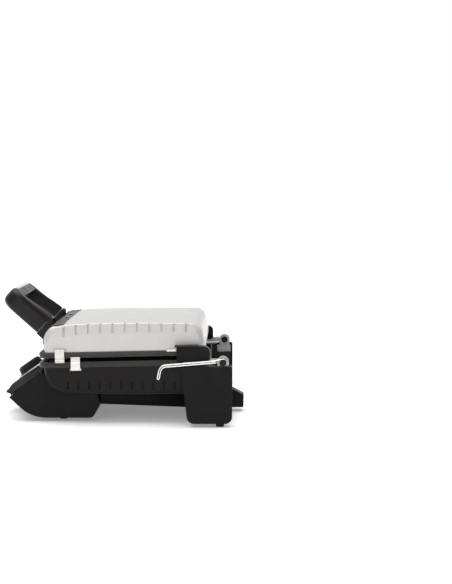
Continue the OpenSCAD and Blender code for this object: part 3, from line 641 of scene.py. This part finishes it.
def plate_rim(name, place):
    """The plate's rim: a section with a fine step swept round a plan with round corners."""
    section = rounded_line([
        (8.8, -6.8, 0), (0, -6.8, 2.2), (0, -1.6, 0.3), (0.55, -1.1, 0.3), (0.55, RIM_TOP_MM, 1.6),
        (6.6, RIM_TOP_MM, 1.5), (8.8, FLOOR_MM - 0.5, 0)
    ], 4)
    x, front, rear = PLATE_W_MM / 2, PLATE_FRONT_MM, PLATE_REAR_MM
    stations = []
    for cx, cy, r, turned in ((x, front, 16, -90), (x, rear, 8, 0), (-x, rear, 8, 90), (-x, front, 16, 180)):
        centre = Vector((cx - math.copysign(r, cx), cy + (r if cy == front else -r)))
        for a in spaced(turned, turned + 90, 9):
            stations.append([(*(centre + way(a) * (r - inset)), z) for inset, z in section])
    return swept(name, place, stations, capped=False)


def plate_height(x, y):
    """Height of the cooking face: ribs that run front to back, and a drain trough across the front."""
    i = max(0, min(RIB_COUNT - 1, round(x / RIB_PITCH_MM + (RIB_COUNT - 1) / 2)))
    off = abs(x - (i - (RIB_COUNT - 1) / 2) * RIB_PITCH_MM)
    ends = ease(RIB_FRONT_MM - 1, RIB_FRONT_MM + 5, y) * (1 - ease(RIB_REAR_MM - 5, RIB_REAR_MM + 1, y))
    rib = RIB_H_MM * (1 - ease(1.1, 2.7, off)) * ends
    across = 1 - ease(131, 135, abs(x))
    trough = TROUGH_MM * ease(-279, -276, y) * (1 - ease(-264, -261, y)) * across
    return FLOOR_MM + rib - trough


def plate_face(name, place):
    """The ribbed cooking face, closed underneath."""
    half, front, rear, under = 142.2, PLATE_FRONT_MM + 7.8, PLATE_REAR_MM - 7.8, -9.5
    offs = (-2.7, -2.2, -1.9, -1.5, -1.1, 0, 1.1, 1.5, 1.9, 2.2, 2.7)
    xs = {round((i - (RIB_COUNT - 1) / 2) * RIB_PITCH_MM + off, 3) for i in range(RIB_COUNT) for off in offs}
    xs = sorted(xs | {-half, half, -135, 135, -133, 133, -131, 131})
    ys = spaced(front, RIB_FRONT_MM + 6, 36) + spaced(RIB_FRONT_MM + 12, RIB_REAR_MM - 10, 10)
    ys += spaced(RIB_REAR_MM - 6, rear, 12)
    points = [(x, y, plate_height(x, y)) for y in ys for x in xs]
    faces = grid_faces(len(ys), len(xs))
    piece = mesh_piece(name, place, points, faces)
    bm = bmesh.new()
    bm.from_mesh(piece.data)
    rim = [e for e in bm.edges if e.is_boundary]
    made = bmesh.ops.extrude_edge_only(bm, edges=rim)["geom"]
    down = (place.to_3x3() @ Vector((0, 0, 1))) * (under - FLOOR_MM) * MM
    bmesh.ops.translate(bm, vec=down, verts=[g for g in made if isinstance(g, bmesh.types.BMVert)])
    bmesh.ops.holes_fill(bm, edges=[g for g in made if isinstance(g, bmesh.types.BMEdge)])
    bmesh.ops.recalc_face_normals(bm, faces=bm.faces)
    bm.to_mesh(piece.data)
    bm.free()
    return piece


def grill_plate(node, slot, place):
    piece = joined(plate_rim(node + "_finished", place), plate_face(node + "_face", place))
    mount_on_frame(smooth(piece, 50), slot, node)


# ---------- handle ----------

HANDLE_HALF_MM = 77      # from the middle to the middle of an arm
HANDLE_REACH_MM = 66.3   # from the seam to the middle of the crossbar
ARM_MM = 11              # half the width of an arm
DEPTH_MM = 15.5          # half the depth of an arm
ARM_RISE_MM = 7          # extra height of an arm's inner edge at its root
PARTING_MM = -10.5       # where the grip meets its lower cap
SEAM_MM = 0.5            # gap between them
GRIP_R_MM = 8            # radius of the grip's upper outer edge
TRIM_HALF_MM = 62

HANDLE_SECTION = rounded_line([
    (ARM_MM, -DEPTH_MM, 11), (ARM_MM, DEPTH_MM, GRIP_R_MM), (-ARM_MM, DEPTH_MM, 4), (-ARM_MM, -DEPTH_MM, 3.5)
], 9)


def cut_level(outline, level, side):
    """The part of a closed outline above (side 1) or below (side -1) a level."""
    kept = []
    for a, b in zip(outline, outline[1:] + outline[:1]):
        above, next_above = side * (a[1] - level) >= 0, side * (b[1] - level) >= 0
        if above:
            kept.append(a)
        if above != next_above:
            kept.append(a.lerp(b, (level - a[1]) / (b[1] - a[1])))
    return kept


def handle_path(corner=13, steps=10):
    """Stations round the loop: (x, y, outward direction), from one arm's root to the other's."""
    bend_x, bend_y = HANDLE_HALF_MM - corner, -HANDLE_REACH_MM + corner
    stations = [(HANDLE_HALF_MM, y, (1, 0)) for y in spaced(-0.3, bend_y, 12)]
    for a in spaced(0, 90, steps)[1:]:
        c, s = way(a)
        stations.append((bend_x + corner * c, bend_y - corner * s, (c, -s)))
    stations += [(x, -HANDLE_REACH_MM, (0, -1)) for x in spaced(bend_x, 0, 8)[1:]]
    return stations + [(-x, y, (-u, v)) for x, y, (u, v) in stations[-2::-1]]


def loop_piece(node, section):
    """A section of (outward, up) points swept round the handle's loop."""
    stations = []
    for x, y, (u, v) in handle_path():
        rise = ARM_RISE_MM * ease(-HANDLE_REACH_MM + 10, 0, y)
        station = []
        for out, up in section:
            lifted = up + rise * (0.5 - out / (2 * ARM_MM)) * ease(-DEPTH_MM, DEPTH_MM, up)
            station.append((x + u * out, y + v * out, lifted))
        stations.append(station)
    piece = swept(node + "_finished", HANDLE, stations)
    round_edges(piece, 0.4, 2, angle=60)
    mount_on_frame(smooth(piece, 50), "handle_black", node)


def handle():
    loop_piece("handle_grip", cut_level(HANDLE_SECTION, PARTING_MM, 1))
    loop_piece("handle_lower_cap", cut_level(HANDLE_SECTION, PARTING_MM - SEAM_MM, -1))
    handle_trim()


def handle_trim():
    """The silver strip let into the crossbar's upper outer edge, a little proud of it."""
    centre = Vector((ARM_MM - GRIP_R_MM, DEPTH_MM - GRIP_R_MM))
    band = [way(a) for a in spaced(35, 86, 14)]
    section = [centre + w * (GRIP_R_MM + 0.2) for w in band]
    section += [centre + w * (GRIP_R_MM - 1) for w in reversed(band)]
    xs = spaced(-TRIM_HALF_MM, TRIM_HALF_MM, 20)
    stations = [[(x, -HANDLE_REACH_MM - out, up) for out, up in section] for x in xs]
    piece = swept("handle_trim_finished", HANDLE, stations)
    round_edges(piece, 0.3, 2, angle=50)
    mount_on_frame(smooth(piece, 50), "silver_trim", "handle_trim")


# ---------- wire levers and clips ----------

WIRE_MM = 1.05
PIN_R_MM = 4
EYE_MM = PIN_R_MM + 0.06 + WIRE_MM       # radius of the wire round the pin
WIRE_PITCH_MM = 2 * WIRE_MM + 0.9
LEVER_BEND_DEG = 75
BEND_R_MM = 10.5
LEVER_REACH_MM = 89
LEVER_LEG_MM = 10.5
WIRE_DROP_MM = 1.5       # the legs sit this much below the top of the eye
LEVER_TAIL_MM = 11
LEVER_X_MM = 178.2
LEVER_TILT_DEG = 4.8


def wire_line():
    """Centre line of the doubled wire in (along, up): out on top, round the hairpin and back below."""
    height = EYE_MM - WIRE_DROP_MM
    centre = Vector((-LEVER_REACH_MM, height - WIRE_PITCH_MM / 2 - BEND_R_MM))
    along, out = -way(LEVER_BEND_DEG), way(LEVER_BEND_DEG + 90)
    tip = centre + along * LEVER_LEG_MM + out * BEND_R_MM

    def bend(radius, degrees):
        return [centre + radius * way(d + 90) for d in degrees]

    outer = bend(BEND_R_MM + WIRE_PITCH_MM / 2, spaced(0, LEVER_BEND_DEG, 10))
    inner = bend(BEND_R_MM - WIRE_PITCH_MM / 2, spaced(LEVER_BEND_DEG, 0, 10))
    hairpin = [tip + WIRE_PITCH_MM / 2 * (out * way(d)[0] + along * way(d)[1]) for d in spaced(0, 180, 13)]
    top = [Vector((y, EYE_MM - WIRE_DROP_MM * ease(2, 16, -y))) for y in spaced(-2, -16, 8)]
    top += [Vector((y, height)) for y in spaced(-22, -LEVER_REACH_MM + 3, 6)]
    under = [Vector((y, height - WIRE_PITCH_MM)) for y in spaced(-LEVER_REACH_MM + 3, -LEVER_TAIL_MM, 6)]
    return top + outer + hairpin + inner + under


def across_line(line, i, closed=False):
    """The direction across a flat line at its point i."""
    ahead = line[(i + 1) % len(line)] if closed else line[min(i + 1, len(line) - 1)]
    behind = line[i - 1] if closed else line[max(i - 1, 0)]
    t = (ahead - behind).normalized()
    return Vector((-t[1], t[0]))


def round_tube(name, place, line, radius, sides=20, capped=True):
    """A round wire along a line in the plane x = 0."""
    stations = []
    for i, p in enumerate(line):
        side = across_line(line, i, closed=not capped)
        ring = []
        for k in range(sides):
            a = 2 * math.pi * k / sides
            q = p + side * math.cos(a) * radius
            ring.append((math.sin(a) * radius, q[0], q[1]))
        stations.append(ring)
    return swept(name, place, stations, capped)


def side_lever(side, mirror):
    place = mirror @ PIVOT @ shift(LEVER_X_MM, 0, 0) @ turn(LEVER_TILT_DEG, "X")
    node = side + "_side_lever"
    wire = round_tube(node + "_finished", place, wire_line(), WIRE_MM)
    eye = [way(a) * EYE_MM for a in spaced(0, 360, 33)[:-1]]
    ring = round_tube(node + "_eye", place, eye, WIRE_MM, capped=False)
    piece = joined(wire, ring)
    round_edges(piece, 0.5, 3, angle=60)
    mount_on_frame(smooth(piece, 50), "chrome_wire", node)


CATCH_ENDS_MM = (-88, -73)


def side_catches():
    """A thin folded strip on each long side of the upper plate."""
    section = [(147, 18.0), (147, 19.1), (151.2, 19.1), (151.2, 16.0), (150.3, 16.0), (150.3, 18.0)]
    pieces = []
    for name, mirror in (("upper_side_catches_finished", Matrix.Identity(4)), ("left_catch", LEFT_SIDE)):
        stations = [[(x, y, z) for x, z in section] for y in spaced(*CATCH_ENDS_MM, 4)]
        pieces.append(swept(name, mirror @ PLATES, stations))
    piece = joined(*pieces)
    round_edges(piece, 0.25, 2, angle=50)
    mount_on_frame(smooth(piece, 50), "spring_steel", "upper_side_catches")


CLIP_W_MM = 14.5
CLIP_T_MM = 0.8
CLIP_PIN_MM = (150.6, 20.4)
CLIP_LEG_X_MM = 152.1
CURL_R_MM = 1.5
UPPER_CLIP_Y_MM = -255.8
LOWER_CLIP_Y_MM = -231.3


def clip_line():
    """Section of a clip in (across, up): a curl round its pin, the leg, the nose and the finger lip."""
    curl = [Vector(CLIP_PIN_MM) + CURL_R_MM * way(180 - a) for a in spaced(-120, 180, 16)]
    body = rounded_line([
        (CLIP_LEG_X_MM, 19, 0), (152.5, 10.6, 1.2), (150.7, 8.4, 1), (152.2, 5.4, 2), (149.6, 1.2, 0)
    ], 7)
    return [p for p in curl if p[0] <= CLIP_LEG_X_MM][:-1] + body


def clip(node, y, place):
    line = clip_line()
    sides = ([], [])
    for i, p in enumerate(line):
        offset = across_line(line, i) * CLIP_T_MM / 2
        sides[0].append(p + offset)
        sides[1].append(p - offset)
    section = sides[0] + sides[1][::-1]
    stations = [[(x, y + w, z) for x, z in section] for w in spaced(-CLIP_W_MM / 2, CLIP_W_MM / 2, 4)]
    piece = swept(node + "_finished", place, stations)
    round_edges(piece, 0.15, 2, angle=50)
    mount_on_frame(smooth(piece, 50), "spring_steel", node)


# ---------- pieces that keep their node's shape ----------

# node: (look, edge radius in millimetres)
POLISHED = {
    "base_pan": ("matt_metal", 0.8), "front_housing": ("black_housing", 1.2),
    "control_panel": ("matt_black", 0.8), "knob_bezel": ("zinc_steel", 0.4),
    "thermostat": ("ceramic", 0.4), "tray_runners": ("black_housing", 0.5),
    "lower_element": ("element_sheath", 0.3), "lower_reflector": ("aluminised_sheet", 0.2),
    "thermal_fuse": ("ceramic", 0.3), "lower_clip_mounts": ("zinc_steel", 0.2),
    "lower_rear_catches": ("zinc_steel", 0.2), "left_tower": ("black_housing", 1.5),
    "right_tower": ("black_housing", 1.5), "left_hinge_guide": ("zinc_steel", 0.4),
    "right_hinge_guide": ("zinc_steel", 0.4), "rear_cover": ("black_housing", 0.8),
    "cord_gland": ("rubber_black", 0.4), "terminal_block": ("ceramic", 0.4),
    "wiring_loom": ("wire_jacket", 0.1), "front_feet": ("rubber_black", 0.6),
    "rear_feet": ("rubber_black", 0.6), "base_screws": ("zinc_steel", 0.4),
    "temperature_knob": ("black_housing", 0.5), "knob_pointer": ("silver_trim", 0.1),
    "knob_spindle": ("zinc_steel", 0.2), "drip_tray": ("black_housing", 0.6),
    "left_hinge_slider": ("zinc_steel", 0.5), "right_hinge_slider": ("zinc_steel", 0.5),
    "left_pivot_pin": ("black_metal", 0.6), "right_pivot_pin": ("black_metal", 0.6),
    "upper_element": ("element_sheath", 0.3), "upper_reflector": ("aluminised_sheet", 0.2),
    "upper_clip_mounts": ("zinc_steel", 0.2), "upper_rear_catches": ("spring_steel", 0.2),
    "power_light": ("red_lens", 0.4), "ready_light": ("green_lens", 0.4),
    "handle_screws": ("zinc_steel", 0.3),
    "left_arm_block": ("black_housing", 0.8), "right_arm_block": ("black_housing", 0.8),
    "left_hinge_strap": ("zinc_steel", 0.4), "right_hinge_strap": ("zinc_steel", 0.4),
}

for name, (slot, radius) in POLISHED.items():
    polished(name, slot, radius)

lid_shell()
lower_shell()
grill_plate("lower_plate", "nonstick_dark", PLATES)
# the upper plate takes the lighter copy of the coating, with painted sheen in its base colour
grill_plate("upper_plate", "nonstick_grey", PLATES @ UPSIDE_DOWN)
handle()
handle_bracket()
side_catches()
for side, mirror in (("right", Matrix.Identity(4)), ("left", LEFT_SIDE)):
    side_lever(side, mirror)
    clip("upper_" + side + "_clip", UPPER_CLIP_Y_MM, mirror @ PLATES)
    clip("lower_" + side + "_clip", LOWER_CLIP_Y_MM, mirror @ PLATES @ UPSIDE_DOWN)


# ---------- camera and studio ----------

CAMERA_AT = (2.4083, 0.1835, 0.3826)
CAMERA_TOWARD = (-0.99705, -0.00667, -0.07642)
CAMERA_LENS_MM = 89.57


def camera():
    data = bpy.data.cameras.new("camera")
    data.lens = CAMERA_LENS_MM
    data.sensor_width = 36
    eye = new_object("camera", data)
    eye.location = CAMERA_AT
    eye.rotation_euler = Vector(CAMERA_TOWARD).to_track_quat("-Z", "Y").to_euler()
    bpy.context.scene.camera = eye


def sun(name, toward, strength, spread_deg):
    data = bpy.data.lights.new(name, "SUN")
    data.energy = strength
    data.angle = math.radians(spread_deg)
    lamp = new_object(name, data)
    lamp.rotation_euler = Vector(toward).to_track_quat("-Z", "Y").to_euler()


FLOOR_GLOW = 0.24        # a light table: the shadows on it stay pale


def floor():
    """A plain pale floor that runs far past the view."""
    mesh = bpy.data.meshes.new("floor")
    half = 40
    corners = [(-half, -half, 0), (half, -half, 0), (half, half, 0), (-half, half, 0)]
    mesh.from_pydata(corners, [], [(0, 1, 2, 3)])
    ground = new_object("floor", mesh)
    look = Look("floor_white", (0.9, 0.9, 0.9), 0.9, specular=0.1).mottle(2, 0.995)
    look.shader.inputs["Emission Color"].default_value = (1, 1, 1, 1)
    look.shader.inputs["Emission Strength"].default_value = FLOOR_GLOW
    mesh.materials.append(look.material)


FRONT_LIGHT = 0.34       # strength of the surroundings on the camera's side
BACK_LIGHT = 0.84        # and behind the object


def surroundings():
    """A pale studio all round: the camera sees it white, and the object is lit most from behind."""
    world = bpy.data.worlds.new("studio")
    bpy.context.scene.world = world
    world.use_nodes = True
    nodes, links = world.node_tree.nodes, world.node_tree.links
    seen, felt = nodes["Background"], nodes.new("ShaderNodeBackground")
    seen.inputs["Color"].default_value = (1, 1, 1, 1)
    felt.inputs["Color"].default_value = (1, 1, 1, 1)
    seen.inputs["Strength"].default_value = 1.0
    direction, split = nodes.new("ShaderNodeTexCoord"), nodes.new("ShaderNodeSeparateXYZ")
    fall = nodes.new("ShaderNodeMapRange")
    ranges = {"From Min": 0.6, "From Max": -0.9, "To Min": FRONT_LIGHT, "To Max": BACK_LIGHT}
    for name, number in ranges.items():
        fall.inputs[name].default_value = number
    links.new(direction.outputs["Generated"], split.inputs["Vector"])
    links.new(split.outputs["X"], fall.inputs["Value"])
    links.new(fall.outputs["Result"], felt.inputs["Strength"])
    mix, path = nodes.new("ShaderNodeMixShader"), nodes.new("ShaderNodeLightPath")
    links.new(path.outputs["Is Camera Ray"], mix.inputs["Fac"])
    links.new(felt.outputs["Background"], mix.inputs[1])
    links.new(seen.outputs["Background"], mix.inputs[2])
    links.new(mix.outputs["Shader"], nodes["World Output"].inputs["Surface"])
    bpy.context.scene.view_settings.view_transform = "Standard"


camera()
floor()
surroundings()
sun("overhead", (0.1, 0.15, -1), 2.55, 72)
sun("camera_side", (-1, 0.2, -0.42), 0.68, 60)
